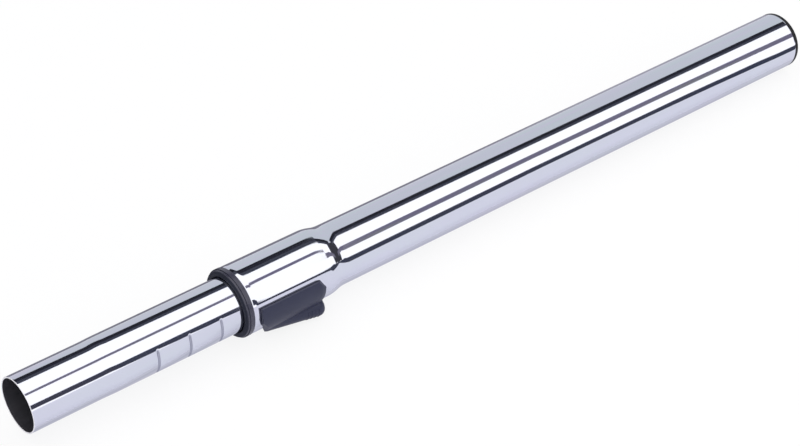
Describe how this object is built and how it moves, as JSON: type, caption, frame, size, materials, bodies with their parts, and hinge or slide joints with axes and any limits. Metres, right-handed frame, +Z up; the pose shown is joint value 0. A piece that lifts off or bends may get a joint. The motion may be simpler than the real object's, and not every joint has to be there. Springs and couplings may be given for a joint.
{
  "type": "telescopic vacuum wand",
  "caption": "Chromed two-part telescopic suction wand with a widened bell, a collar ring and a sliding thumb button that frees the notched inner tube.",
  "frame": {"origin": "centre of the handle socket's mouth at the wide end", "axes": "+X along the wand to the tool end, +Z up as the wand lies on its button, +Y out of the ridge's side"},
  "size_m": [0.5634, 0.042, 0.0421],
  "materials": {
    "chromed_outer": "bright chrome plate on steel",
    "chromed_inner": "bright chrome plate on steel",
    "black_polypropylene": "moulded, fine satin",
    "collar_plastic": "moulded, satin",
    "sealing_rubber": "moulded",
    "natural_pom": "moulded, waxy",
    "lock_pom": "moulded, waxy",
    "pin_steel": "ground",
    "spring_steel": "drawn and tempered",
    "button_abs": "moulded, half gloss",
    "carriage_pom": "moulded, waxy"
  },
  "bodies": {
    "outer": {"outer_tube": "chromed_outer", "socket_liner": "black_polypropylene", "collar_ring": "collar_plastic", "wiper_ring": "sealing_rubber", "lock_cradle": "natural_pom", "guide_shell": "natural_pom", "lock_spring_left": "spring_steel", "lock_spring_right": "spring_steel", "return_spring": "spring_steel"},
    "inner": {"inner_tube": "chromed_inner", "rear_bush_upper": "natural_pom", "rear_bush_lower": "natural_pom", "rear_seal": "sealing_rubber", "end_ring": "black_polypropylene"},
    "button": {"button_cover": "button_abs", "button_carriage": "carriage_pom"},
    "lock": {"lock_shoe": "lock_pom", "lock_pin": "pin_steel"}
  },
  "joints": [
    {"name": "inner_slide", "type": "slide", "parent": "outer", "child": "inner", "axis": [1, 0, 0], "range_m": [-0.08, 0.16]},
    {"name": "button_slide", "type": "slide", "parent": "outer", "child": "button", "axis": [1, 0, 0], "range_m": [0, 0.003], "stiffness_N_per_m": 1500, "springref_m": -0.002, "deforming": ["return_spring"]},
    {"name": "lock_lift", "type": "slide", "parent": "outer", "child": "lock", "axis": [0, 0.6691, -0.7431], "range_m": [0, 0.0012], "deforming": ["lock_spring_left", "lock_spring_right"]}
  ],
  "couplings": [
    {"joint": "lock_lift", "follows": "button_slide", "ratio": 0.4}
  ]
}
